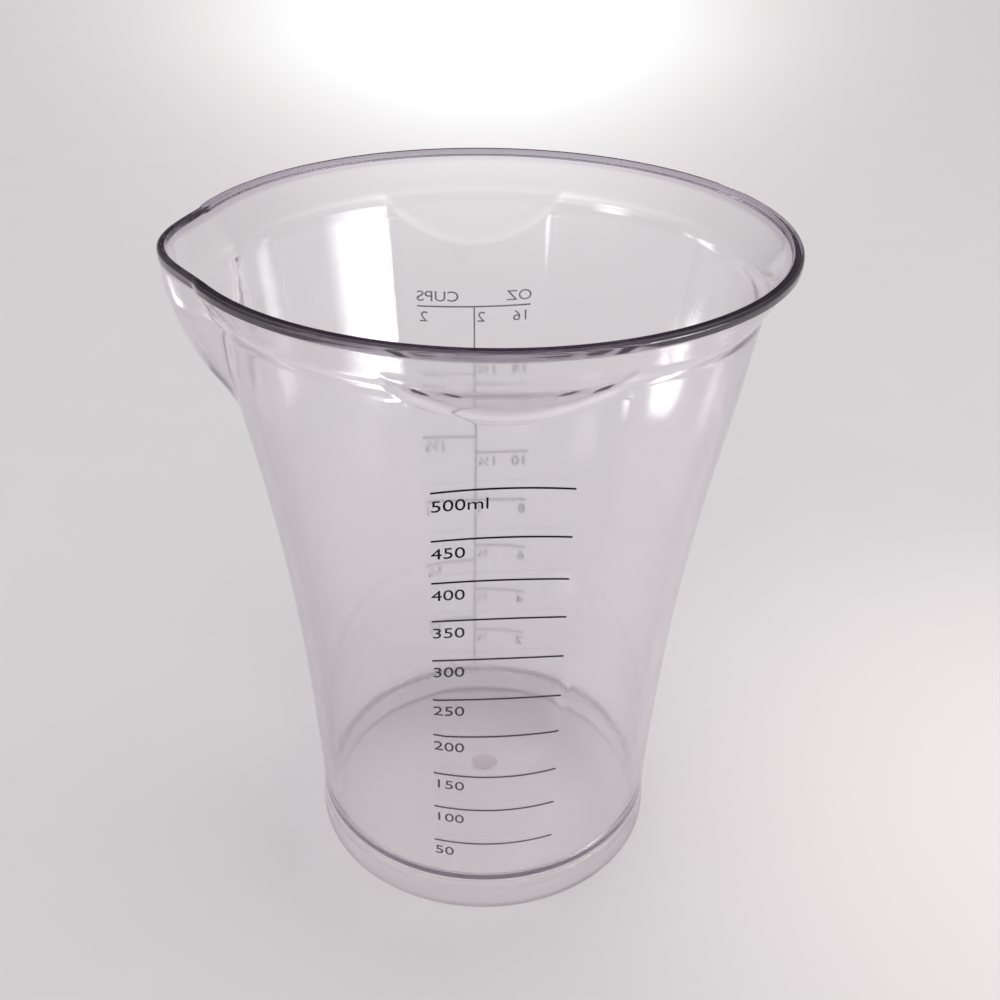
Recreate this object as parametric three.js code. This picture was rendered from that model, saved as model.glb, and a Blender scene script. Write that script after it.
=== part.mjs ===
import * as THREE from 'three';
import { toCreasedNormals } from 'three/addons/utils/BufferGeometryUtils.js';

// A clear measuring beaker, in millimetres. It stands on z = 0 and opens upward.
// The millilitre panel faces -Y, the cup and ounce panel faces +Y and the spout points close to -X.

// Main sizes
const HEIGHT = 140;
const WALL = 2;
const SHOULDER_HEIGHT = 130.4;
const SHOULDER_RADIUS = 52.3;
const WAIST_RADIUS = 38.2;
const FLOOR_TOP = 8.5;
const FLOOR_THICKNESS = 1.4;
const FLOOR_FILLET = 1.2;

// The trumpet wall outside. up: share of the shoulder's height; flare: share of the way out from the
// waist's radius to the shoulder's.
const WALL_STATIONS = [
  { up: 0, flare: 0.02 },
  { up: 0.08, flare: 0 },
  { up: 0.23, flare: 0.068 },
  { up: 0.38, flare: 0.165 },
  { up: 0.535, flare: 0.315 },
  { up: 0.69, flare: 0.52 },
  { up: 0.84, flare: 0.765 },
  { up: 1, flare: 1 },
];

// Foot: the skirt below the floor, its flat ring on the table and the gate mark under the floor
const FOOT_EDGE = 0.8;
const FOOT_RING_WIDTH = 1.9;
const GATE_RADIUS = 3;
const GATE_DEPTH = 0.5;

// Collar and rim: the flat top edge, with a small lip round its outside that stands proud of the collar
const COLLAR_RISE = 4.9;
const LIP_REACH = 0.5;
const LIP_HEIGHT = 1.75;
const RIM_FACE_WIDTH = 1.9;
const RIM_EDGE = 0.3;

// Panels. up: share of the shoulder's height; press: share of the full depth in the panel's middle;
// bend: curvature across it, in units of the hollow's at the top, positive where it bulges out.
const PANEL_DEPTH = 6.6;
const PANEL_HOLLOW_RADIUS = 54;
const PANEL_STATIONS = [
  { up: 0, press: -0.14, bend: 1.33 },
  { up: 0.29, press: -0.03, bend: 1.24 },
  { up: 0.46, press: 0.226, bend: 0.236 },
  { up: 0.566, press: 0.39, bend: 0 },
  { up: 0.84, press: 0.8, bend: -0.72 },
  { up: 1, press: 1, bend: -1 },
];
const PANEL_LEAST_HALF_ANGLE = THREE.MathUtils.degToRad(10);
const LEDGE_SLOPE = 1;

// Spout. down: share of its depth below the rim; out: share of the way from the wall at its foot to its
// tip; halfAngle: half its width. Its sides fade into the wall; a higher softness fades them more.
const SPOUT_TURN = THREE.MathUtils.degToRad(-84);
const SPOUT_DEPTH = 33;
const SPOUT_REACH = 2.9;
const SPOUT_SOFTNESS = 1.5;
const SPOUT_STATIONS = [
  { down: 1, out: 0, halfAngle: THREE.MathUtils.degToRad(4) },
  { down: 0.85, out: 0.235, halfAngle: THREE.MathUtils.degToRad(9) },
  { down: 0.7, out: 0.5, halfAngle: THREE.MathUtils.degToRad(13) },
  { down: 0.48, out: 0.77, halfAngle: THREE.MathUtils.degToRad(16.5) },
  { down: 0.28, out: 0.93, halfAngle: THREE.MathUtils.degToRad(18.8) },
  { down: 0, out: 1, halfAngle: THREE.MathUtils.degToRad(20) },
];
const SPOUT_RIM_BLEND = THREE.MathUtils.degToRad(3.5);

// Printed marks. up: share of the way from the floor to the shoulder at which each amount is reached.
const ML_MARKS = [
  { ml: 50, up: 0.093 },
  { ml: 100, up: 0.177 },
  { ml: 150, up: 0.257 },
  { ml: 200, up: 0.346 },
  { ml: 250, up: 0.425 },
  { ml: 300, up: 0.507 },
  { ml: 350, up: 0.586 },
  { ml: 400, up: 0.66 },
  { ml: 450, up: 0.739 },
  { ml: 500, up: 0.825 },
];
const CUPS = 2;
const CUP_STATIONS = [
  { cups: 0, up: 0 },
  { cups: 1 / 3, up: 0.123 },
  { cups: 2 / 3, up: 0.265 },
  { cups: 1, up: 0.407 },
  { cups: 4 / 3, up: 0.55 },
  { cups: CUPS, up: 0.81 },
];
const MARK_LINE = 0.35;
const ML_MARK_SHIFT = -0.7;
const ML_MARK_HALF_WIDTH = 12.3;
const CUP_MARK_HALF_WIDTH = 13;
const INK_THICKNESS = 0.1;
const INK_GAP = 0.08;

// Mesh fineness: segments round a ring, and the longest step between rings or along a mark
const PANEL_STEPS = 12;
const PLAIN_SIDE_STEPS = 20;
const SPOUT_SIDE_STEPS = 32;
const OUTSIDE_STEP = 6.5;
const INSIDE_STEP = 12;
const SPOUT_STEP = 3.6;
const LEDGE_STEP = 1.2;
const COLLAR_STEP = 2.8;
const MARK_STEP = 2.5;
const SPINE_STEP = 5;

const RIM_RADIUS = SHOULDER_RADIUS + COLLAR_RISE + LIP_REACH;
const LIP_BOTTOM = HEIGHT - LIP_HEIGHT;
const SPOUT_BOTTOM = HEIGHT - SPOUT_DEPTH;

// A smooth curve through the stations' values of one key; placeOf gives where a station stands
function curveThrough(stations, placeOf, key) {
  const curve = new THREE.CubicInterpolant(stations.map(placeOf), stations.map((at) => at[key]), 1);
  return (place) => curve.evaluate(place)[0];
}

const ofShoulder = ({ up }) => up * SHOULDER_HEIGHT;
const belowRim = ({ down }) => HEIGHT - down * SPOUT_DEPTH;
const wallFlare = curveThrough(WALL_STATIONS, ofShoulder, 'flare');
const panelPress = curveThrough(PANEL_STATIONS, ofShoulder, 'press');
const panelBend = curveThrough(PANEL_STATIONS, ofShoulder, 'bend');
const spoutOut = curveThrough(SPOUT_STATIONS, belowRim, 'out');
const spoutHalfAngle = curveThrough(SPOUT_STATIONS, belowRim, 'halfAngle');
const cupsUp = curveThrough(CUP_STATIONS, ({ cups }) => cups, 'up');

function trumpetRadius(height) {
  return THREE.MathUtils.lerp(WAIST_RADIUS, SHOULDER_RADIUS, wallFlare(height));
}

function panelMiddle(height) {
  return trumpetRadius(height) - PANEL_DEPTH * panelPress(height);
}

function spoutTip(height) {
  return THREE.MathUtils.lerp(trumpetRadius(SPOUT_BOTTOM), RIM_RADIUS + SPOUT_REACH, spoutOut(height));
}

// How much farther a surface that slopes with height lies along the radius, for a distance square to it
function slopeFactor(curve, height) {
  const step = 0.5;
  return Math.hypot(1, (curve(height + step) - curve(height - step)) / (2 * step));
}

// The functions below take an inset: 0 gives the wall's outside and WALL gives its inside.

// The round wall without panels or spout: the trumpet, then the collar flaring to the rim
function collarRadius(height) {
  const share = (height - SHOULDER_HEIGHT) / (LIP_BOTTOM - SHOULDER_HEIGHT);
  return SHOULDER_RADIUS + COLLAR_RISE * share;
}

function roundRadius(height, inset) {
  const trumpet = trumpetRadius(height) - inset * slopeFactor(trumpetRadius, height);
  return Math.max(trumpet, collarRadius(height) - inset * slopeFactor(collarRadius, height));
}

// Where a ray from the axis, turned from the panel's middle, meets the panel's curved sheet
function panelRadius(turn, height, inset) {
  const middle = panelMiddle(height) - inset * slopeFactor(panelMiddle, height);
  const outerBend = panelBend(height) / PANEL_HOLLOW_RADIUS;
  const bend = outerBend / (1 - inset * outerBend);
  const root = Math.cos(turn) ** 2 + 2 * bend * Math.sin(turn) ** 2 * middle;
  return (2 * middle) / (Math.cos(turn) + Math.sqrt(Math.max(root, 0)));
}

// The ledge that closes the top of a panel rises outward to the shoulder
function ledgeRadius(height, inset) {
  const fall = (SHOULDER_HEIGHT - height) * LEDGE_SLOPE;
  return SHOULDER_RADIUS - fall - inset * Math.hypot(1, LEDGE_SLOPE);
}

function panelledRadius(turn, height, inset) {
  const pressed = Math.max(panelRadius(turn, height, inset), ledgeRadius(height, inset));
  return Math.min(roundRadius(height, inset), pressed);
}

// Half the angle that a panel spans at a height, up to its crease with the round wall
function panelHalfAngle(height, inset) {
  let low = PANEL_LEAST_HALF_ANGLE;
  let high = Math.PI / 6;
  const round = roundRadius(Math.min(height, SHOULDER_HEIGHT), inset);
  for (let step = 0; step < 30; step += 1) {
    const middle = (low + high) / 2;
    if (panelRadius(middle, Math.min(height, SHOULDER_HEIGHT), inset) < round) low = middle;
    else high = middle;
  }
  return high;
}

function turnFrom(turn, middle) {
  return Math.atan2(Math.sin(turn - middle), Math.cos(turn - middle));
}

// Radius of the whole wall. Turn 0 is the front panel's middle and a positive turn goes toward +X.
function wallRadius(turn, height, inset) {
  const fromFront = Math.abs(turnFrom(turn, 0));
  const radius = panelledRadius(Math.min(fromFront, Math.PI - fromFront), height, inset);
  const fromSpout = Math.abs(turnFrom(turn, SPOUT_TURN));
  if (height <= SPOUT_BOTTOM || fromSpout >= spoutHalfAngle(height)) return radius;
  const tip = spoutTip(height) - inset * slopeFactor(spoutTip, height);
  const bulge = (1 - (fromSpout / spoutHalfAngle(height)) ** 2) ** SPOUT_SOFTNESS;
  return Math.max(radius, THREE.MathUtils.lerp(radius, tip, bulge));
}

// The lip ends at both sides of the spout, where the rim is flush with the wall below it
function rimOuterRadius(turn) {
  const fromSpout = Math.abs(turnFrom(turn, SPOUT_TURN));
  const start = spoutHalfAngle(HEIGHT);
  return wallRadius(turn, LIP_BOTTOM, 0)
    + LIP_REACH * THREE.MathUtils.smoothstep(fromSpout, start, start + SPOUT_RIM_BLEND);
}

function rimInnerRadius(turn) {
  return wallRadius(turn, LIP_BOTTOM, 0) + LIP_REACH - RIM_FACE_WIDTH;
}

function wallPoint(turn, radius, height) {
  return new THREE.Vector3(radius * Math.sin(turn), -radius * Math.cos(turn), height);
}

// The turns of one ring of points: the creases of both panels always fall on a point
function ringTurns(height, inset) {
  const half = panelHalfAngle(height, inset);
  const arcs = [
    { from: -half, to: half, steps: PANEL_STEPS },
    { from: half, to: Math.PI - half, steps: PLAIN_SIDE_STEPS },
    { from: Math.PI - half, to: Math.PI + half, steps: PANEL_STEPS },
    { from: Math.PI + half, to: 2 * Math.PI - half, steps: SPOUT_SIDE_STEPS },
  ];
  return arcs.flatMap(({ from, to, steps }) => (
    Array.from({ length: steps }, (_, i) => THREE.MathUtils.lerp(from, to, i / steps))
  ));
}

function ring(height, radiusAt, inset = 0) {
  return ringTurns(height, inset).map((turn) => wallPoint(turn, radiusAt(turn), height));
}

// The wall's own ring at a height, on its outside or inside
function wallRing(height, inset) {
  return ring(height, (turn) => wallRadius(turn, height, inset), inset);
}

// A closed body through rings of equal point count, with a flat cap at each end
function loft(rings) {
  const count = rings[0].length;
  const points = rings.flat();
  const triangles = [];
  for (let r = 0; r < rings.length - 1; r += 1) {
    for (let i = 0; i < count; i += 1) {
      const a = r * count + i;
      const b = r * count + ((i + 1) % count);
      triangles.push(a, b, b + count, a, b + count, a + count);
    }
  }
  [0, rings.length - 1].forEach((end) => {
    const middle = rings[end].reduce((sum, point) => sum.add(point), new THREE.Vector3());
    points.push(middle.divideScalar(count));
    for (let i = 0; i < count; i += 1) {
      const a = end * count + i;
      const b = end * count + ((i + 1) % count);
      triangles.push(points.length - 1, ...(end === 0 ? [b, a] : [a, b]));
    }
  });
  const geometry = new THREE.BufferGeometry().setFromPoints(points);
  geometry.setIndex(triangles);
  return toCreasedNormals(geometry, THREE.MathUtils.degToRad(30));
}

// Even steps from one value to another, both included, no longer than a given step
function stepsBetween(from, to, step) {
  const count = Math.ceil(Math.abs(to - from) / step);
  return Array.from({ length: count + 1 }, (_, i) => THREE.MathUtils.lerp(from, to, i / count));
}

// Heights of the wall's rings, from the floor's fillet to the rim's underside. They lie closer together
// at the spout, at the panels' ledges and on the collar.
function wallHeights(lowerStep) {
  const ledgeBottom = SHOULDER_HEIGHT - (PANEL_DEPTH / LEDGE_SLOPE) * 1.35;
  const spans = [
    { from: FLOOR_TOP + FLOOR_FILLET, step: lowerStep },
    { from: SPOUT_BOTTOM, step: SPOUT_STEP },
    { from: ledgeBottom, step: LEDGE_STEP },
    { from: SHOULDER_HEIGHT, step: COLLAR_STEP },
    { from: LIP_BOTTOM },
  ].sort((a, b) => a.from - b.from);
  return [
    spans[0].from,
    ...spans.slice(1).flatMap(({ from }, i) => stepsBetween(spans[i].from, from, spans[i].step).slice(1)),
  ];
}

// Points of a quarter-round as { along, up } shares, from the side to the end
function quarterRound(steps) {
  return Array.from({ length: steps + 1 }, (_, i) => {
    const angle = (i / steps) * (Math.PI / 2);
    return { along: 1 - Math.cos(angle), up: 1 - Math.sin(angle) };
  });
}

// The body's surface from under the floor, round the foot, up the outside, over the rim and back inside
function bodyRings() {
  const underside = FLOOR_TOP - FLOOR_THICKNESS;
  const footRadius = trumpetRadius(0);
  const skirtTop = trumpetRadius(underside) - WALL;
  const skirtBottom = footRadius - FOOT_EDGE - FOOT_RING_WIDTH;
  const floorEdge = (turn) => wallRadius(turn, FLOOR_TOP + FLOOR_FILLET, WALL);
  const under = [
    ring(underside - GATE_DEPTH, () => GATE_RADIUS),
    ring(underside, () => GATE_RADIUS + GATE_DEPTH),
    ring(underside, () => skirtTop - 1),
    ring(underside - 1, () => skirtTop),
    ring(0, () => skirtBottom),
    ring(0, () => footRadius - FOOT_EDGE),
    ring(FOOT_EDGE / 2, () => footRadius - FOOT_EDGE / 6),
    ring(FOOT_EDGE * 1.5, () => footRadius),
    ring(underside, () => trumpetRadius(underside)),
  ];
  const outside = wallHeights(OUTSIDE_STEP).map((height) => wallRing(height, 0));
  const rim = [
    ring(LIP_BOTTOM, (turn) => rimOuterRadius(turn) - RIM_EDGE / 2),
    ring(LIP_BOTTOM + RIM_EDGE, rimOuterRadius),
    ring(HEIGHT - RIM_EDGE, rimOuterRadius),
    ring(HEIGHT, (turn) => rimOuterRadius(turn) - RIM_EDGE),
    ring(HEIGHT, (turn) => rimInnerRadius(turn) + RIM_EDGE),
    ring(HEIGHT - RIM_EDGE, rimInnerRadius),
  ];
  const inside = wallHeights(INSIDE_STEP).slice(0, -1).reverse().map((height) => (
    wallRing(height, WALL)
  ));
  const floor = quarterRound(3).slice(1).map(({ along, up }) => (
    ring(FLOOR_TOP + FLOOR_FILLET * up, (turn) => floorEdge(turn) - FLOOR_FILLET * along)
  ));
  const floorMiddle = ring(FLOOR_TOP, () => GATE_RADIUS);
  return [...under, ...outside, ...rim, ...inside, ...floor, floorMiddle];
}

// The turn at which a wall point lies a distance across from the middle of the panel it is printed on
function turnAcross(across, height, panelTurn) {
  let turn = panelTurn;
  for (let step = 0; step < 6; step += 1) {
    turn = panelTurn + Math.asin(across / wallRadius(turn, height, 0));
  }
  return turn;
}

// An ink film's surface points: its outline crosses the wall, just clear of it
function inkFilm(panelTurn, sections) {
  const corner = ([across, height], lift) => {
    const turn = turnAcross(across, height, panelTurn);
    return wallPoint(turn, wallRadius(turn, height, 0) + lift, height);
  };
  return loft(sections.map(([first, second]) => [
    corner(first, INK_GAP),
    corner(second, INK_GAP),
    corner(second, INK_GAP + INK_THICKNESS),
    corner(first, INK_GAP + INK_THICKNESS),
  ]));
}

// A level mark between two distances across; it bends where it crosses a panel's crease
function levelMark(panelTurn, [left, right], height) {
  const half = panelHalfAngle(height, 0);
  const crease = wallRadius(half, height, 0) * Math.sin(half);
  const stops = [left, -crease, crease, right].filter((stop) => stop >= left && stop <= right);
  const across = stops.slice(1).flatMap((stop, i) => stepsBetween(stops[i], stop, MARK_STEP).slice(1));
  const bottom = height - MARK_LINE / 2;
  return inkFilm(panelTurn, [left, ...across].map((x) => [[x, bottom], [x, bottom + MARK_LINE]]));
}

// An upright line at one distance across, drawn down from its top
function uprightLine(panelTurn, [left, right], [bottom, top]) {
  const heights = stepsBetween(top, bottom, SPINE_STEP);
  return inkFilm(panelTurn, heights.map((height) => [[left, height], [right, height]]));
}

// The height that is a share of the way from the floor to the shoulder
function heightAt(up) {
  return THREE.MathUtils.lerp(FLOOR_TOP, SHOULDER_HEIGHT, up);
}

const beaker = new THREE.Group();
beaker.name = 'measuring_beaker';

const clear = { color: 0xdcdae2, roughness: 0.08, transparent: true, opacity: 0.35 };
const ink = { color: 0x1b1b1e, roughness: 0.7 };

function addPiece(name, geometry, look) {
  const piece = new THREE.Mesh(geometry, new THREE.MeshStandardMaterial(look));
  piece.name = name;
  beaker.add(piece);
}

addPiece('beaker_body', loft(bodyRings()), clear);

// Millilitre marks on the front panel
ML_MARKS.forEach(({ ml, up }) => {
  const across = [ML_MARK_SHIFT - ML_MARK_HALF_WIDTH, ML_MARK_SHIFT + ML_MARK_HALF_WIDTH];
  addPiece(`ml_mark_${String(ml).padStart(3, '0')}`, levelMark(0, across, heightAt(up)), ink);
});

// Cup and ounce scales on the back panel, on both sides of an upright line
const spineSides = [-MARK_LINE / 2, MARK_LINE / 2];
const topLine = heightAt(cupsUp(CUPS));
const spineSpan = [heightAt(cupsUp(0)), topLine - MARK_LINE / 2];
const backAcross = [-CUP_MARK_HALF_WIDTH, CUP_MARK_HALF_WIDTH];
addPiece('cup_scale_spine', uprightLine(Math.PI, spineSides, spineSpan), ink);
addPiece('cup_scale_top_line', levelMark(Math.PI, backAcross, topLine), ink);

const backScales = [
  { name: 'cup_third_mark', perCup: 3, across: [spineSides[1], CUP_MARK_HALF_WIDTH] },
  { name: 'cup_quarter_mark', perCup: 4, across: [-CUP_MARK_HALF_WIDTH, spineSides[0]] },
];
backScales.forEach(({ name, perCup, across }) => {
  for (let mark = 1; mark < CUPS * perCup; mark += 1) {
    const height = heightAt(cupsUp(mark / perCup));
    addPiece(`${name}_${mark}`, levelMark(Math.PI, across, height), ink);
  }
});

// The origin is put under the middle of the whole outline, spout included
const middle = new THREE.Box3().setFromObject(beaker).getCenter(new THREE.Vector3());
beaker.children.forEach((piece) => piece.geometry.translate(-middle.x, -middle.y, 0));

export default beaker;
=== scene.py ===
"""A clear plastic measuring beaker with printed scales, on a pale floor in soft light.

Every size is in millimetres until a mesh is made. A turn is an angle round the cup's axis: 0 is the middle
of the millilitre panel, which faces -Y, and a positive turn goes toward +X.
"""

import math

import bpy
import numpy as np
from mathutils import Matrix, Vector


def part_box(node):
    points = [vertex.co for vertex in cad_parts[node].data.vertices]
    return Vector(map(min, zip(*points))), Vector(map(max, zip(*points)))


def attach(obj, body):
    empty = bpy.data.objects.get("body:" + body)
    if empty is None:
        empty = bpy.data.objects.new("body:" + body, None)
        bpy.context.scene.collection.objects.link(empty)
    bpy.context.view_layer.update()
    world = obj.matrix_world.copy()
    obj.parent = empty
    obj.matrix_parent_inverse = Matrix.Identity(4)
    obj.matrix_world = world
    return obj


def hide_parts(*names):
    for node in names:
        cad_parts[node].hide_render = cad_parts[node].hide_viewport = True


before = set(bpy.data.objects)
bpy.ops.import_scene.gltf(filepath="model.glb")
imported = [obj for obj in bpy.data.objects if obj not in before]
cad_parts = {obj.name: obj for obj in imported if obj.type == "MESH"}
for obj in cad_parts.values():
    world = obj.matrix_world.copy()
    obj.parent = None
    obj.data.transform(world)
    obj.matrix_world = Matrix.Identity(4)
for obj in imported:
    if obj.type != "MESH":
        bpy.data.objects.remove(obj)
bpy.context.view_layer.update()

MM = 0.001

# Main sizes of the moulding
HEIGHT = 140.0
WALL = 2.0
SHOULDER_HEIGHT = 130.4
SHOULDER_RADIUS = 52.3
WAIST_RADIUS = 38.2
FLOOR_TOP = 8.5
FLOOR_THICKNESS = 1.4
FLOOR_FILLET = 1.2
COLLAR_RISE = 4.9
LIP_REACH = 0.5
LIP_HEIGHT = 1.75
RIM_FACE_WIDTH = 1.9
RIM_RADIUS = SHOULDER_RADIUS + COLLAR_RISE + LIP_REACH
LIP_BOTTOM = HEIGHT - LIP_HEIGHT

# The trumpet wall: (share of the shoulder's height, share of the way out from waist to shoulder)
WALL_FLARE = [
    (0.0, 0.02), (0.08, 0.0), (0.23, 0.068), (0.38, 0.165),
    (0.535, 0.315), (0.69, 0.52), (0.84, 0.765), (1.0, 1.0),
]

# Panels: (share of the shoulder's height, share of the full depth) and (the same, share of the hollow)
PANEL_DEPTH = 6.6
PANEL_HOLLOW_RADIUS = 54.0
PANEL_PRESS = [(0.0, -0.14), (0.29, -0.03), (0.46, 0.226), (0.566, 0.39), (0.84, 0.8), (1.0, 1.0)]
PANEL_BEND = [(0.0, 1.33), (0.29, 1.24), (0.46, 0.236), (0.566, 0.0), (0.84, -0.72), (1.0, -1.0)]
PANEL_LEAST_HALF_ANGLE = math.radians(10)
PANEL_MOST_HALF_ANGLE = math.radians(30)
LEDGE_SLOPE = 1.0

# Spout: (share of its depth below the rim, share of the way out to its tip) and (the same, half width)
SPOUT_TURN = math.radians(-84)
SPOUT_DEPTH = 33.0
SPOUT_REACH = 2.89
SPOUT_OUT = [(0.0, 1.0), (0.28, 0.93), (0.48, 0.77), (0.7, 0.5), (0.85, 0.235), (1.0, 0.0)]
SPOUT_HALF_DEGREES = [(0.0, 24.0), (0.28, 22.7), (0.48, 20.0), (0.7, 15.8), (0.85, 11.0), (1.0, 5.0)]
SPOUT_RIM_HALF = math.radians(20)
SPOUT_RIM_BLEND = math.radians(3.5)
SPOUT_BOTTOM = HEIGHT - SPOUT_DEPTH

# Foot and gate mark
FOOT_EDGE = 0.8
FOOT_RING_WIDTH = 1.9
GATE_RADIUS = 3.0
GATE_DEPTH = 0.5
GATE_SLOPE = 0.1
FOOT_FILLET = 1.4

# How soft the edges are
CREASE_ROUNDING = 1.1
SHOULDER_ROUNDING = 0.5
LEDGE_FOOT_ROUNDING = 1.6
LEDGE_TOP_ROUNDING = 1.2
SMALL_EDGE = 0.3
RIM_ROUNDING = 0.6
LIP_SWEEP = 0.25

# How finely the skin is divided: strips of close points beside each crease and at the spout, in turns
CREASE_STRIP = math.radians(1.8)
SPOUT_STRIP = math.radians(25.5)
SKIRT_START = 1.2
SKIRT_STEP = 0.8

# Printed scales: share of the way from the floor to the shoulder at which each amount is reached
ML_MARKS = {
    50: 0.093, 100: 0.177, 150: 0.257, 200: 0.346, 250: 0.425,
    300: 0.507, 350: 0.586, 400: 0.66, 450: 0.739, 500: 0.825,
}
CUP_MARKS = [(0.0, 0.0), (1 / 3, 0.123), (2 / 3, 0.265), (1.0, 0.407), (4 / 3, 0.55), (2.0, 0.81)]
INK_GAP = 0.08
INK_HALF_THICKNESS = 0.03
LETTER_HEIGHT = 2.4
LETTER_STRETCH = 1.2
LETTER_BOLDNESS = 0.001
LETTER_STEPS = 6

# Places of the lettering: how far below its line, or above it, and its edge's distance across the panel
ML_LABEL_BELOW = 2.95
ML_LABEL_EDGE = -13.05
CUP_LABEL_BELOW = 2.4
HEADING_ABOVE = 2.4
CUPS_HEADING_EDGE = 3.4
OUNCES_HEADING_EDGE = -13.4
THIRD_LABEL_EDGE = 12.4
QUARTER_LABEL_EDGE = -0.7
OUNCE_LABEL_EDGE = -12.9
THIRDS = ["\u2153", "\u2154", "1", "1\u2153", "1\u2154", "2"]
QUARTERS = ["\u00bc", "\u00bd", "\u00be", "1", "1\u00bc", "1\u00bd", "1\u00be", "2"]

# Colours of the plastic: face on, painted shade aslant and at the rim, gate mark, shadow and depth
PLASTIC = (0.99, 0.985, 0.99)
PLASTIC_SHADED_ASLANT = (0.70, 0.665, 0.70)
PLASTIC_RIM_SHADE = (0.64, 0.60, 0.67)
PLASTIC_GATE = (0.88, 0.78, 0.83)
PLASTIC_SHADOW = (0.975, 0.968, 0.974)
PLASTIC_DEPTH = (0.70, 0.645, 0.71)
PLASTIC_DENSITY = 50.0

# Colours of each ink, fresh and worn, and the heights in metres between which it wears
FRONT_INK = (0.004, 0.004, 0.005), (0.13, 0.12, 0.13)
BACK_INK = (0.2, 0.2, 0.205), (0.36, 0.36, 0.37)
FRESH_HEIGHT = 0.095
WORN_HEIGHT = 0.02

# Colours of the table, of the light painted on it, and of the room that the plastic mirrors and bends
TABLE = (0.66, 0.635, 0.645), (0.68, 0.655, 0.665)
TABLE_HALF = 6000.0
TABLE_PAINTED_LIGHT = (0.95, 0.88, 0.89)
WHITE = (1, 1, 1)
EVEN_LIGHT = (0.93, 0.93, 0.93)
ROOM_SIDES = (0.32, 0.31, 0.32)
ROOM_BRIGHT = (0.95, 0.95, 0.96)
DARK_PATCH = (0.05, 0.04, 0.06)
DARK_PATCH_DIRECTION = (0.04, 0.92, 0.39)

# Camera: its place in millimetres from the cup's foot, the angles it is turned by, and its lens
CAMERA_PLACE = (-17.26, -219.35, 211.28)
CAMERA_HEADING = math.radians(5.231)
CAMERA_PITCH = math.radians(30.655)
CAMERA_ROLL = math.radians(1.008)
CAMERA_LENS = 43.522
LIGHT_BOUNCES = 40

# Where the cup's axis stands: the rim's right side is one rim radius from it
AXIS_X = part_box("beaker_body")[1][0] / MM - RIM_RADIUS


def curve_through(points, scale=1.0):
    """A smooth curve through (place, value) points, each place times a scale. Its slope at a point is the
    mean of the slopes to the points beside it."""
    places, values = (np.array(column, float) for column in zip(*points))
    places = places * scale
    secants = np.diff(values) / np.diff(places)
    slopes = np.concatenate([secants[:1], (secants[:-1] + secants[1:]) / 2, secants[-1:]])

    def evaluate(place):
        place = np.clip(place, places[0], places[-1])
        i = np.clip(np.searchsorted(places, place, side="right") - 1, 0, len(places) - 2)
        width = places[i + 1] - places[i]
        t = (place - places[i]) / width
        start = values[i] * (1 + 2 * t) + slopes[i] * width * t
        end = values[i + 1] * (3 - 2 * t) - slopes[i + 1] * width * (1 - t)
        return start * (1 - t) ** 2 + end * t**2

    return evaluate


wall_flare = curve_through(WALL_FLARE, SHOULDER_HEIGHT)
panel_press = curve_through(PANEL_PRESS, SHOULDER_HEIGHT)
panel_bend = curve_through(PANEL_BEND, SHOULDER_HEIGHT)
spout_out = curve_through(SPOUT_OUT, SPOUT_DEPTH)
spout_half_degrees = curve_through(SPOUT_HALF_DEGREES, SPOUT_DEPTH)
cups_up = curve_through(CUP_MARKS)


def lerp(start, end, share):
    return start + (end - start) * share


def soft_max(a, b, blend):
    """The larger of two values, with a rounded change-over where they differ by less than blend."""
    near = np.clip(blend - np.abs(a - b), 0, None)
    return np.maximum(a, b) + near**2 / (4 * np.maximum(blend, 1e-9))


def soft_min(a, b, blend):
    return -soft_max(-a, -b, blend)


def trumpet_radius(height):
    return lerp(WAIST_RADIUS, SHOULDER_RADIUS, wall_flare(height))


def panel_middle(height):
    return trumpet_radius(height) - PANEL_DEPTH * panel_press(height)


def spout_tip(height):
    wall = trumpet_radius(np.array(SPOUT_BOTTOM))
    return lerp(wall, RIM_RADIUS + SPOUT_REACH, spout_out(HEIGHT - height))


def collar_radius(height):
    return SHOULDER_RADIUS + COLLAR_RISE * (height - SHOULDER_HEIGHT) / (LIP_BOTTOM - SHOULDER_HEIGHT)


def slope_factor(curve, height):
    """How much farther a sloping surface lies along the radius, for a distance square to it."""
    step = 0.5
    return np.hypot(1, (curve(height + step) - curve(height - step)) / (2 * step))


# The functions below take an inset: 0 gives the wall's outside and WALL gives its inside.


def round_radius(height, inset):
    trumpet = trumpet_radius(height) - inset * slope_factor(trumpet_radius, height)
    collar = collar_radius(height) - inset * slope_factor(collar_radius, height)
    return soft_max(trumpet, collar, SHOULDER_ROUNDING * (1 + inset))


def panel_radius(turn, height, inset):
    """Where a ray from the axis, turned from the panel's middle, meets the panel's curved sheet."""
    middle = panel_middle(height) - inset * slope_factor(panel_middle, height)
    outer_bend = panel_bend(height) / PANEL_HOLLOW_RADIUS
    bend = outer_bend / (1 - inset * outer_bend)
    root = np.cos(turn) ** 2 + 2 * bend * np.sin(turn) ** 2 * middle
    return 2 * middle / (np.cos(turn) + np.sqrt(np.maximum(root, 0)))


def ledge_radius(height, inset):
    fall = (SHOULDER_HEIGHT - height) * LEDGE_SLOPE
    return SHOULDER_RADIUS - fall - inset * math.hypot(1, LEDGE_SLOPE)


def panel_half_angle(height, inset):
    """Half the angle that a panel spans, up to its crease with the round wall."""
    height = np.minimum(height, SHOULDER_HEIGHT)
    low = np.full_like(height, PANEL_LEAST_HALF_ANGLE)
    high = np.full_like(height, PANEL_MOST_HALF_ANGLE)
    wall = round_radius(height, inset)
    for _ in range(30):
        middle = (low + high) / 2
        inside = panel_radius(middle, height, inset) < wall
        low = np.where(inside, middle, low)
        high = np.where(inside, high, middle)
    return high


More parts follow.
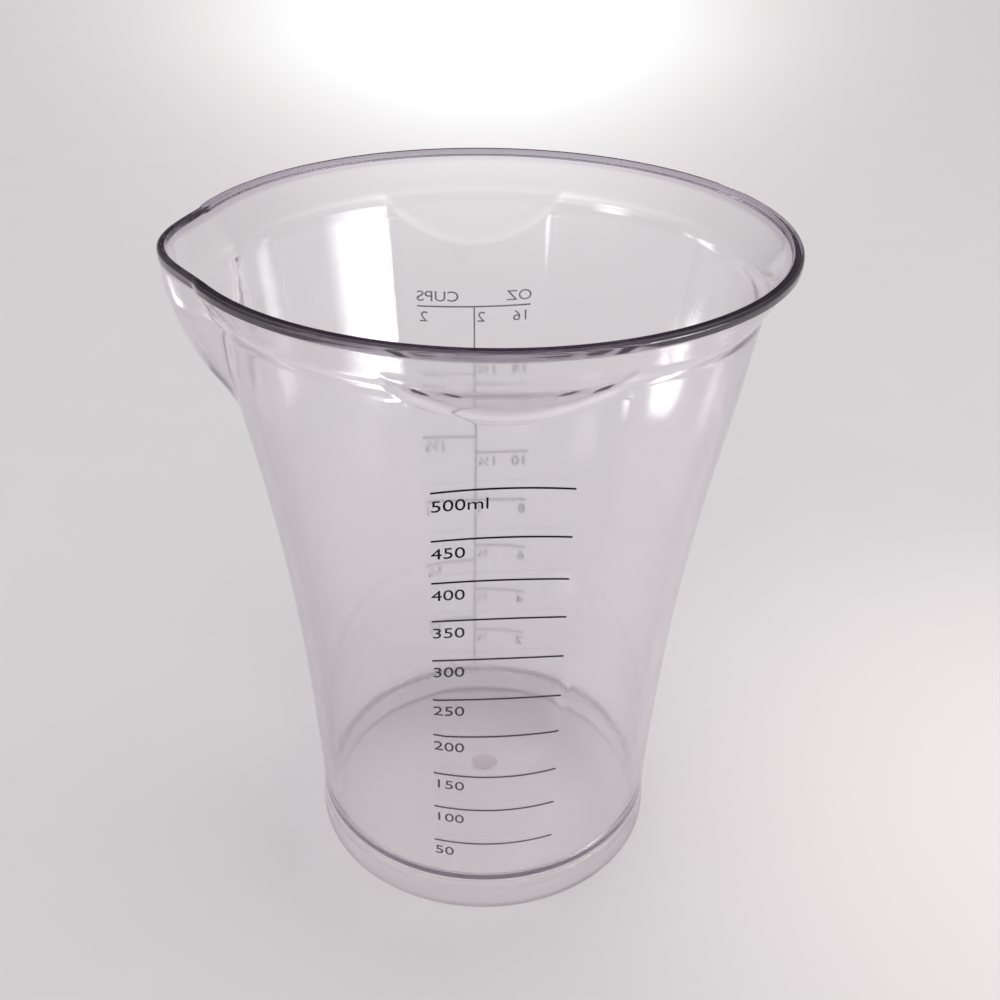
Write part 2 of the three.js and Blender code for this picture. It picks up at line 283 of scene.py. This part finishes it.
def crease_blend(height, inset):
    """How far apart the panel and the round wall still blend, so that each crease is rounded alike."""
    step = 0.01
    half = panel_half_angle(height, inset)
    base = np.minimum(height, SHOULDER_HEIGHT)
    rise = panel_radius(half + step, base, inset) - panel_radius(half - step, base, inset)
    return CREASE_ROUNDING * np.clip(rise / (2 * step * round_radius(base, inset)), 0.01, None)


def wrapped(turn):
    return np.arctan2(np.sin(turn), np.cos(turn))


def wall_radius(turn, height, inset=0.0):
    """Radius of the whole wall, with its panels, collar and spout."""
    turn, height = np.broadcast_arrays(np.asarray(turn, float), np.asarray(height, float))
    from_front = np.abs(wrapped(turn))
    from_panel = np.minimum(from_front, math.pi - from_front)
    pressed = soft_max(
        panel_radius(from_panel, height, inset), ledge_radius(height, inset), LEDGE_FOOT_ROUNDING
    )
    blend = np.maximum(crease_blend(height, inset), LEDGE_TOP_ROUNDING * (height > SHOULDER_HEIGHT - 3))
    radius = soft_min(round_radius(height, inset), pressed, blend)
    half = np.radians(spout_half_degrees(HEIGHT - height))
    bulge = (1 + np.cos(math.pi * np.clip(wrapped(turn - SPOUT_TURN) / half, -1, 1))) / 2
    tip = spout_tip(height) - inset * slope_factor(spout_tip, height)
    return np.where(height > SPOUT_BOTTOM, np.maximum(radius, lerp(radius, tip, bulge)), radius)


def ring_turns(height, inset):
    """The turns of one ring of the shell's points: close together at the creases and round the spout."""
    half = float(panel_half_angle(np.array(float(height)), inset))
    near = half - CREASE_STRIP
    far = half + CREASE_STRIP
    spout = 2 * math.pi + SPOUT_TURN
    stops = [
        (-far, 8), (-near, 48), (near, 8), (far, 40),
        (math.pi - far, 8), (math.pi - near, 48), (math.pi + near, 8), (math.pi + far, 20),
        (spout - SPOUT_STRIP, 64), (spout + SPOUT_STRIP, 20), (2 * math.pi - far, 0),
    ]
    parts = [
        np.linspace(start, stops[i + 1][0], count, endpoint=False)
        for i, (start, count) in enumerate(stops[:-1])
    ]
    return np.concatenate(parts)


def ring(height, radius_at, inset=0.0):
    """A closed ring of points at a height; radius_at gives the radius at each turn, or is one radius."""
    turn = ring_turns(height, inset)
    radius = radius_at(turn) if callable(radius_at) else np.full_like(turn, radius_at)
    return np.stack([radius * np.sin(turn), -radius * np.cos(turn), np.full_like(turn, height)], axis=1)


def wall_ring(height, inset):
    return ring(height, lambda turn: wall_radius(turn, height, inset), inset)


def quarter_arc(steps):
    """A quarter turn in steps, as (sine, cosine) pairs that start at (0, 1)."""
    return [(math.sin(a), math.cos(a)) for a in np.linspace(0, math.pi / 2, steps + 1)]


def foot_rings():
    """From the gate mark under the floor, down the skirt's inside, over the foot and up to the wall."""
    underside = FLOOR_TOP - FLOOR_THICKNESS
    foot = float(trumpet_radius(np.array(0.0)))
    skirt_top = float(trumpet_radius(np.array(underside))) - WALL
    skirt_bottom = foot - FOOT_EDGE - FOOT_RING_WIDTH
    rings = [
        ring(underside - GATE_DEPTH, 0.4 * GATE_RADIUS),
        ring(underside - GATE_DEPTH, GATE_RADIUS - SMALL_EDGE),
        ring(underside - GATE_DEPTH + GATE_SLOPE, GATE_RADIUS - GATE_SLOPE),
        ring(underside - GATE_SLOPE, GATE_RADIUS + GATE_SLOPE),
        ring(underside, GATE_RADIUS + SMALL_EDGE),
        ring(underside, GATE_RADIUS + 2 * SMALL_EDGE),
        ring(underside, skirt_top - FOOT_FILLET - SMALL_EDGE),
    ]
    for sine, cosine in quarter_arc(6):
        rings.append(ring(underside - FOOT_FILLET * (1 - cosine), skirt_top - FOOT_FILLET * (1 - sine)))
    for sine, cosine in quarter_arc(4):
        rings.append(ring(SMALL_EDGE * (1 - sine), skirt_bottom + SMALL_EDGE * (1 - cosine)))
    for sine, cosine in quarter_arc(6):
        rings.append(ring(FOOT_EDGE * (1 - cosine), foot - FOOT_EDGE * (1 - sine)))
    for height in np.arange(SKIRT_START, FLOOR_TOP + FLOOR_FILLET - 0.2, SKIRT_STEP):
        rings.append(ring(height, float(trumpet_radius(np.array(height)))))
    return rings


def wall_heights():
    """Heights of the wall's rings, closest together at the panels' ledges and the shoulder."""
    stops = [
        (FLOOR_TOP + FLOOR_FILLET, 2.4), (SPOUT_BOTTOM, 1.0), (SHOULDER_HEIGHT - 9, 0.22),
        (SHOULDER_HEIGHT + 2.5, 0.8), (LIP_BOTTOM - 0.5, 0),
    ]
    parts = []
    for (start, step), (end, _) in zip(stops, stops[1:]):
        parts.append(np.linspace(start, end, max(2, round((end - start) / step)), endpoint=False))
    return np.concatenate(parts + [np.array([LIP_BOTTOM - 0.5])])


def rim_rings():
    """The lip's underside, its edge, the flat top face and the rim's inside."""
    def wall_top(turn):
        return wall_radius(turn, LIP_BOTTOM)

    def lip_share(turn):
        share = np.clip((np.abs(wrapped(turn - SPOUT_TURN)) - SPOUT_RIM_HALF) / SPOUT_RIM_BLEND, 0, 1)
        return share**2 * (3 - 2 * share)

    def outer(inward):
        return lambda turn: wall_top(turn) + LIP_REACH * lip_share(turn) - inward

    def swept(height, share):
        at = min(height, LIP_BOTTOM)
        return lambda turn: wall_radius(turn, at) + LIP_REACH * lip_share(turn) * share

    def inner(inward):
        return lambda turn: wall_top(turn) + LIP_REACH - RIM_FACE_WIDTH + inward

    rings = []
    for part in np.linspace(0, 1, 10):
        height = LIP_BOTTOM + LIP_SWEEP * (2 * part - 1)
        rings.append(ring(height, swept(height, part**2 * (3 - 2 * part))))
    for sine, cosine in quarter_arc(10):
        rings.append(ring(HEIGHT - RIM_ROUNDING * (1 - sine), outer(RIM_ROUNDING * (1 - cosine))))
    rings.append(ring(HEIGHT, outer(RIM_ROUNDING + SMALL_EDGE)))
    rings.append(ring(HEIGHT, inner(2 * SMALL_EDGE)))
    for sine, cosine in quarter_arc(5):
        rings.append(ring(HEIGHT - SMALL_EDGE * (1 - cosine), inner(SMALL_EDGE * (1 - sine))))
    return rings


def floor_rings():
    """The fillet between the wall's inside and the floor, and the floor itself."""
    top = FLOOR_TOP + FLOOR_FILLET

    def wall_inside(turn):
        return wall_radius(turn, top, WALL)

    rings = []
    for sine, cosine in quarter_arc(8)[1:]:
        inward = FLOOR_FILLET * (1 - cosine)
        rings.append(ring(top - FLOOR_FILLET * sine, lambda turn, i=inward: wall_inside(turn) - i))
    rings.append(ring(FLOOR_TOP, lambda turn: wall_inside(turn) - FLOOR_FILLET - SMALL_EDGE))
    rings.append(ring(FLOOR_TOP, GATE_RADIUS))
    return rings


def mesh_object(name, points, faces):
    """A smooth-shaded object from points in millimetres about the cup's axis."""
    mesh = bpy.data.meshes.new(name)
    mesh.from_pydata((np.asarray(points) + (AXIS_X, 0, 0)) * MM, [], faces)
    mesh.shade_smooth()
    piece = bpy.data.objects.new(name, mesh)
    bpy.context.scene.collection.objects.link(piece)
    return piece


def make_shell():
    """The whole moulding as one closed skin through rings of points."""
    heights = wall_heights()
    rings = (
        foot_rings()
        + [wall_ring(height, 0.0) for height in heights]
        + rim_rings()
        + [wall_ring(height, WALL) for height in heights[::-1]]
        + floor_rings()
    )
    count = len(rings[0])
    points = np.concatenate(rings + [rings[0].mean(axis=0)[None], rings[-1].mean(axis=0)[None]])
    faces = []
    for row in range(len(rings) - 1):
        for i in range(count):
            a = row * count + i
            b = row * count + (i + 1) % count
            faces.append((a, b, b + count, a + count))
    last = (len(rings) - 1) * count
    for i in range(count):
        j = (i + 1) % count
        faces.append((len(points) - 2, j, i))
        faces.append((len(points) - 1, last + i, last + j))
    return mesh_object("beaker_shell", points, faces)


def height_of_ml(ml):
    return lerp(FLOOR_TOP, SHOULDER_HEIGHT, ML_MARKS[ml])


def height_of_cups(cups):
    return lerp(FLOOR_TOP, SHOULDER_HEIGHT, float(cups_up(cups)))


def turn_across(across, height, panel_turn):
    """The turn at which a wall point lies a distance across from the middle of its panel."""
    turn = np.full_like(across, panel_turn)
    for _ in range(6):
        turn = panel_turn + np.arcsin(across / wall_radius(turn, height))
    return turn


def lettering(text):
    """The filled outlines of a text, flat, as its vertices' coordinates and its faces."""
    curve = bpy.data.curves.new(text, "FONT")
    curve.body = text
    curve.fill_mode = "BOTH"
    curve.extrude = INK_HALF_THICKNESS
    curve.offset = LETTER_BOLDNESS
    curve.resolution_u = LETTER_STEPS
    flat = bpy.data.objects.new(text, curve)
    bpy.context.scene.collection.objects.link(flat)
    graph = bpy.context.evaluated_depsgraph_get()
    graph.update()
    mesh = bpy.data.meshes.new_from_object(flat.evaluated_get(graph))
    points = np.array([vertex.co[:] for vertex in mesh.vertices])
    faces = [tuple(face.vertices) for face in mesh.polygons]
    bpy.data.objects.remove(flat)
    bpy.data.curves.remove(curve)
    bpy.data.meshes.remove(mesh)
    return points, faces


def print_label(name, text, panel_turn, edge, height, ink, size=1.0, from_right=False):
    """Lettering printed on a panel. It starts at an edge across, or ends there, and height is its middle."""
    points, faces = lettering(text)
    digit = lettering("0")[0]
    scale = size * LETTER_HEIGHT / (digit[:, 1].max() - digit[:, 1].min())
    across = points[:, 0] * scale * LETTER_STRETCH
    across += edge - (across.max() if from_right else 0)
    level = height + (points[:, 1] - (digit[:, 1].min() + digit[:, 1].max()) / 2) * scale
    turn = turn_across(across, level, panel_turn)
    radius = wall_radius(turn, level) + INK_GAP + INK_HALF_THICKNESS + points[:, 2]
    on_wall = np.stack([radius * np.sin(turn), -radius * np.cos(turn), level], axis=1)
    piece = mesh_object(name, on_wall, faces)
    piece.data.shade_flat()
    piece.data.materials.append(ink)
    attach(piece, "root")
    return piece


def make_ml_labels(ink):
    for ml in ML_MARKS:
        text = "500ml" if ml == 500 else str(ml)
        height = height_of_ml(ml) - ML_LABEL_BELOW
        print_label(f"ml_label_{ml:03d}", text, 0.0, ML_LABEL_EDGE, height, ink)


def make_cup_labels(ink):
    """The lettering of the back panel. Distances across grow to the right of whoever reads it."""
    top = height_of_cups(2) + HEADING_ABOVE
    print_label("cups_heading", "CUPS", math.pi, CUPS_HEADING_EDGE, top, ink)
    print_label("ounces_heading", "OZ", math.pi, OUNCES_HEADING_EDGE, top, ink)
    for step, text in enumerate(THIRDS, 1):
        height = height_of_cups(step / 3) - CUP_LABEL_BELOW
        print_label(f"third_label_{step}", text, math.pi, THIRD_LABEL_EDGE, height, ink, from_right=True)
    for step, text in enumerate(QUARTERS, 1):
        height = height_of_cups(step / 4) - CUP_LABEL_BELOW
        print_label(f"quarter_label_{step}", text, math.pi, QUARTER_LABEL_EDGE, height, ink, from_right=True)
        print_label(f"ounce_label_{step}", str(2 * step), math.pi, OUNCE_LABEL_EDGE, height, ink)


def node_helpers(tree):
    """Functions to add and join nodes in a tree, and short ways to calculate, to grade and to blend."""

    def add(kind, **settings):
        node = tree.nodes.new(kind)
        for key, value in settings.items():
            setattr(node, key, value)
        return node

    def fill(socket, value):
        if isinstance(value, tuple):
            socket.default_value = (*value, 1)
        elif isinstance(value, (int, float)):
            socket.default_value = value
        else:
            tree.links.new(value, socket)

    def maths(operation, first, second=0.0, clamp=False):
        node = add("ShaderNodeMath", operation=operation, use_clamp=clamp)
        fill(node.inputs[0], first)
        fill(node.inputs[1], second)
        return node.outputs["Value"]

    def graded(value, start, end, low=0.0, high=1.0, interpolation="LINEAR"):
        """The low value at the start and the high value at the end, and even steps between them."""
        node = add("ShaderNodeMapRange", interpolation_type=interpolation)
        node.inputs["From Min"].default_value = start
        node.inputs["From Max"].default_value = end
        node.inputs["To Min"].default_value = low
        node.inputs["To Max"].default_value = high
        tree.links.new(value, node.inputs["Value"])
        return node.outputs["Result"]

    def eased(value, start, end, low=0.0, high=1.0):
        """As graded, with a soft run between the two."""
        return graded(value, start, end, low, high, "SMOOTHSTEP")

    def blend(share, first, second):
        node = add("ShaderNodeMix", data_type="RGBA")
        fill(node.inputs[0], share)
        fill(node.inputs[6], first)
        fill(node.inputs[7], second)
        return node.outputs[2]

    return add, tree.links.new, maths, graded, eased, blend


def new_material(name):
    """A material with an empty node tree, and the functions that fill it."""
    material = bpy.data.materials.new(name)
    material.use_nodes = True
    material.node_tree.nodes.clear()
    return material, *node_helpers(material.node_tree)


def object_place(add, link):
    """The place on the object, whole and split into its three axes."""
    place = add("ShaderNodeTexCoord").outputs["Object"]
    axes = add("ShaderNodeSeparateXYZ")
    link(place, axes.inputs["Vector"])
    return place, axes


def noise(add, link, place, scale, detail=2.0):
    texture = add("ShaderNodeTexNoise")
    texture.inputs["Scale"].default_value = scale
    texture.inputs["Detail"].default_value = detail
    link(place, texture.inputs["Vector"])
    return texture.outputs["Fac"]


def distance_from(add, link, place, point):
    node = add("ShaderNodeVectorMath", operation="DISTANCE")
    node.inputs[1].default_value = point
    link(place, node.inputs[0])
    return node.outputs["Value"]


def make_clear_plastic():
    """Clear plastic, faintly violet, with the slight waviness and fine scuffs of a used moulding. Painted
    shade deepens its colour at the rim and where it is seen aslant; it is matt at the foot and the gate
    mark."""
    material, add, link, maths, graded, eased, blend = new_material("clear_plastic")
    output = add("ShaderNodeOutputMaterial")
    glass = add("ShaderNodeBsdfPrincipled")
    glass.inputs["Transmission Weight"].default_value = 1
    glass.inputs["IOR"].default_value = 1.57
    through = add("ShaderNodeBsdfTransparent")
    through.inputs["Color"].default_value = (*PLASTIC_SHADOW, 1)
    path = add("ShaderNodeLightPath")
    mix = add("ShaderNodeMixShader")
    link(path.outputs["Is Shadow Ray"], mix.inputs["Fac"])
    link(glass.outputs["BSDF"], mix.inputs[1])
    link(through.outputs["BSDF"], mix.inputs[2])
    link(mix.outputs["Shader"], output.inputs["Surface"])

    absorption = add("ShaderNodeVolumeAbsorption")
    absorption.inputs["Color"].default_value = (*PLASTIC_DEPTH, 1)
    absorption.inputs["Density"].default_value = PLASTIC_DENSITY
    link(absorption.outputs["Volume"], output.inputs["Volume"])

    place, axes = object_place(add, link)
    gate = (AXIS_X * MM, 0, (FLOOR_TOP - FLOOR_THICKNESS) * MM)
    from_gate = distance_from(add, link, place, gate)
    scuffed = graded(noise(add, link, place, 160, 6), 0.45, 0.8, 0.05, 0.09)
    matt_foot = eased(axes.outputs["Z"], 0.0085, 0.003, 0.0, 0.45)
    matt_gate = graded(from_gate, (GATE_RADIUS + 0.5) * MM, (GATE_RADIUS - 0.5) * MM, 0.0, 0.4)
    matt = maths("MAXIMUM", matt_foot, matt_gate)
    link(maths("MAXIMUM", scuffed, matt), glass.inputs["Roughness"])

    facing = add("ShaderNodeLayerWeight")
    facing.inputs["Blend"].default_value = 0.5
    # Painted shade: the colour darkens where the plastic is seen aslant, toward its outline
    tint_and_shade = blend(eased(facing.outputs["Facing"], 0.42, 0.95), PLASTIC, PLASTIC_SHADED_ASLANT)
    # Painted shade: a deeper violet on the rim's top
    tint_and_shade = blend(eased(axes.outputs["Z"], 0.1376, 0.1384), tint_and_shade, PLASTIC_RIM_SHADE)
    at_gate = eased(from_gate, (GATE_RADIUS + 0.8) * MM, (GATE_RADIUS - 0.8) * MM)
    link(blend(at_gate, tint_and_shade, PLASTIC_GATE), glass.inputs["Base Color"])

    bump = add("ShaderNodeBump")
    bump.inputs["Strength"].default_value = 0.25
    bump.inputs["Distance"].default_value = 0.00004
    link(noise(add, link, place, 45, 1), bump.inputs["Height"])
    link(bump.outputs["Normal"], glass.inputs["Normal"])
    return material


def make_ink(name, fresh, worn):
    """Screen-printed ink: matt, a little mottled, and paler toward the foot, where it is worn."""
    material, add, link, maths, graded, _, blend = new_material(name)
    output = add("ShaderNodeOutputMaterial")
    shader = add("ShaderNodeBsdfPrincipled")
    shader.inputs["Specular IOR Level"].default_value = 0.1
    link(shader.outputs["BSDF"], output.inputs["Surface"])
    place, axes = object_place(add, link)
    mottle = noise(add, link, place, 900, 4)
    wear = graded(axes.outputs["Z"], FRESH_HEIGHT, WORN_HEIGHT)
    share = maths("ADD", wear, graded(mottle, 0.0, 1.0, -0.12, 0.12), clamp=True)
    link(blend(share, fresh, worn), shader.inputs["Base Color"])
    link(graded(mottle, 0.0, 1.0, 0.45, 0.7), shader.inputs["Roughness"])
    return material


def make_floor():
    """A pale table, white in a painted beam of light that widens toward its far end, with painted
    pools of light at the right and under the cup."""
    half = TABLE_HALF
    corners = [(-half, -half, 0), (half, -half, 0), (half, half, 0), (-half, half, 0)]
    floor = mesh_object("floor", corners, [(0, 1, 2, 3)])
    material, add, link, maths, _, eased, blend = new_material("floor")
    output = add("ShaderNodeOutputMaterial")
    shader = add("ShaderNodeBsdfPrincipled")
    shader.inputs["Roughness"].default_value = 0.9
    shader.inputs["Specular IOR Level"].default_value = 0.1
    place, axes = object_place(add, link)
    link(blend(noise(add, link, place, 30), *TABLE), shader.inputs["Base Color"])

    from_right = distance_from(add, link, place, (0.16, -0.03, 0))
    from_foot = distance_from(add, link, place, (-0.004, -0.008, 0))
    # Painted pools of light on the table: one at the right, and one under the cup that lightens its shadow
    light_pool_at_right = maths("MULTIPLY", eased(from_right, 0.18, 0.01), 0.8)
    under = maths("MULTIPLY", eased(from_foot, 0.046, 0.018), 0.3)
    reach = maths("ADD", axes.outputs["Y"], 0.22)
    spread = maths("ADD", maths("DIVIDE", axes.outputs["X"], reach), -0.06)
    across = maths("EXPONENT", maths("MULTIPLY", maths("MULTIPLY", spread, spread), -21.0))
    along = maths("MULTIPLY", eased(axes.outputs["Y"], 0.2, 1.05), 1.6)
    beam = maths("MULTIPLY", across, along, clamp=True)

    path = add("ShaderNodeLightPath")
    seen = maths("MAXIMUM", path.outputs["Is Camera Ray"], path.outputs["Is Glossy Ray"])
    seen = maths("MAXIMUM", seen, path.outputs["Is Transmission Ray"])
    glow = add("ShaderNodeEmission")
    glow.inputs["Strength"].default_value = 1
    link(blend(beam, TABLE_PAINTED_LIGHT, WHITE), glow.inputs["Color"])
    mix = add("ShaderNodeMixShader")
    lit = maths("MAXIMUM", beam, maths("MAXIMUM", light_pool_at_right, under))
    link(maths("MULTIPLY", lit, seen), mix.inputs["Fac"])
    link(shader.outputs["BSDF"], mix.inputs[1])
    link(glow.outputs["Emission"], mix.inputs[2])
    link(mix.outputs["Shader"], output.inputs["Surface"])
    floor.data.materials.append(material)


def make_world():
    """Even light from all round. What the plastic mirrors and bends is a bright room, less bright at the
    sides, with one dark patch low beyond the table."""
    world = bpy.data.worlds.new("studio")
    bpy.context.scene.world = world
    world.use_nodes = True
    background = world.node_tree.nodes["Background"]
    background.inputs["Strength"].default_value = 1
    add, link, maths, _, eased, blend = node_helpers(world.node_tree)
    direction = add("ShaderNodeTexCoord").outputs["Generated"]
    axes = add("ShaderNodeSeparateXYZ")
    link(direction, axes.inputs["Vector"])
    patch = add("ShaderNodeVectorMath", operation="DOT_PRODUCT")
    patch.inputs[1].default_value = DARK_PATCH_DIRECTION
    link(direction, patch.inputs[0])
    behind = eased(axes.outputs["Y"], 0.1, -0.7)
    overhead = eased(axes.outputs["Z"], 0.4, 0.75)
    room = blend(maths("MAXIMUM", behind, overhead), ROOM_SIDES, ROOM_BRIGHT)
    room = blend(eased(patch.outputs["Value"], 0.9, 0.98), room, DARK_PATCH)
    path = add("ShaderNodeLightPath")
    seen = maths("MAXIMUM", path.outputs["Is Glossy Ray"], path.outputs["Is Transmission Ray"])
    seen = maths("MULTIPLY", seen, maths("LESS_THAN", path.outputs["Diffuse Depth"], 0.5))
    link(blend(seen, EVEN_LIGHT, room), background.inputs["Color"])


def make_lamp(name, place, aim, size, power, fades, lights_table=False, mirrored=True):
    """A rectangular lamp at a place, turned to a point, both in millimetres. Fades are the shares of its
    width and height over which it fades in from each side: left, right, bottom and top. It either lights
    the table or shows in the plastic, where it can be left out of what the outside mirrors."""
    lamp = bpy.data.lights.new(name, "AREA")
    lamp.shape = "RECTANGLE"
    lamp.size, lamp.size_y = (side * MM for side in size)
    lamp.energy = power
    lamp.use_nodes = True
    add, link, maths, _, eased, _ = node_helpers(lamp.node_tree)
    axes = add("ShaderNodeSeparateXYZ")
    link(add("ShaderNodeNewGeometry").outputs["Parametric"], axes.inputs["Vector"])
    left, right, bottom, top = fades
    across = maths("MULTIPLY", eased(axes.outputs["X"], 0, left), eased(axes.outputs["X"], 1, 1 - right))
    up = maths("MULTIPLY", eased(axes.outputs["Y"], 0, bottom), eased(axes.outputs["Y"], 1, 1 - top))
    link(maths("MULTIPLY", across, up), lamp.node_tree.nodes["Emission"].inputs["Strength"])
    holder = bpy.data.objects.new(name, lamp)
    holder.visible_diffuse = lights_table
    holder.visible_transmission = not lights_table
    holder.visible_glossy = not lights_table and mirrored
    bpy.context.scene.collection.objects.link(holder)
    holder.location = Vector(place) * MM
    holder.rotation_euler = (Vector(aim) - Vector(place)).to_track_quat("-Z", "Y").to_euler()


def make_lamps():
    side_fades = (0.08, 0.6, 0.1, 0.1)
    make_lamp("right_window", (410, -190, 62), (0, 0, 100), (300, 125), 1.2, side_fades)
    make_lamp("left_window", (-700, -330, 360), (0, 0, 130), (350, 160), 1.5, (0.5,) * 4)
    low_fades = (0.5, 0.5, 0.4, 0.4)
    make_lamp("low_window", (-288, 164, 24), (42, 24, 92), (165, 58), 0.5, low_fades, mirrored=False)
    make_lamp("key_light", (500, -200, 700), (0, 0, 60), (400, 400), 1.5, (0.2,) * 4, lights_table=True)


def make_camera():
    """The photograph's camera: above the rim, looking down into the cup, turned a little to the right."""
    heading, pitch, roll = CAMERA_HEADING, CAMERA_PITCH, CAMERA_ROLL
    forward = Vector((
        math.sin(heading) * math.cos(pitch), math.cos(heading) * math.cos(pitch), -math.sin(pitch)
    ))
    level_right = Vector((math.cos(heading), -math.sin(heading), 0))
    level_up = level_right.cross(forward)
    right = math.cos(roll) * level_right + math.sin(roll) * level_up
    up = math.cos(roll) * level_up - math.sin(roll) * level_right
    data = bpy.data.cameras.new("camera")
    data.sensor_width = 36
    data.lens = CAMERA_LENS
    data.clip_start = 0.01
    camera = bpy.data.objects.new("camera", data)
    bpy.context.scene.collection.objects.link(camera)
    place = (Vector(CAMERA_PLACE) + Vector((AXIS_X, 0, 0))) * MM
    turn = Matrix((right, up, -forward)).transposed()
    camera.matrix_world = Matrix.Translation(place) @ turn.to_4x4()
    bpy.context.scene.camera = camera


make_camera()
shell = make_shell()
shell.data.materials.append(make_clear_plastic())
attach(shell, "root")
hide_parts("beaker_body")

front_ink = make_ink("front_ink", *FRONT_INK)
back_ink = make_ink("back_ink", *BACK_INK)
for node_name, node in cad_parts.items():
    if node_name != "beaker_body":
        node.data.materials.clear()
        node.data.materials.append(front_ink if node_name.startswith("ml_") else back_ink)
make_ml_labels(front_ink)
make_cup_labels(back_ink)

make_floor()
make_world()
make_lamps()
scene = bpy.context.scene
scene.view_settings.view_transform = "Standard"
scene.cycles.max_bounces = LIGHT_BOUNCES
scene.cycles.glossy_bounces = LIGHT_BOUNCES
scene.cycles.transmission_bounces = LIGHT_BOUNCES
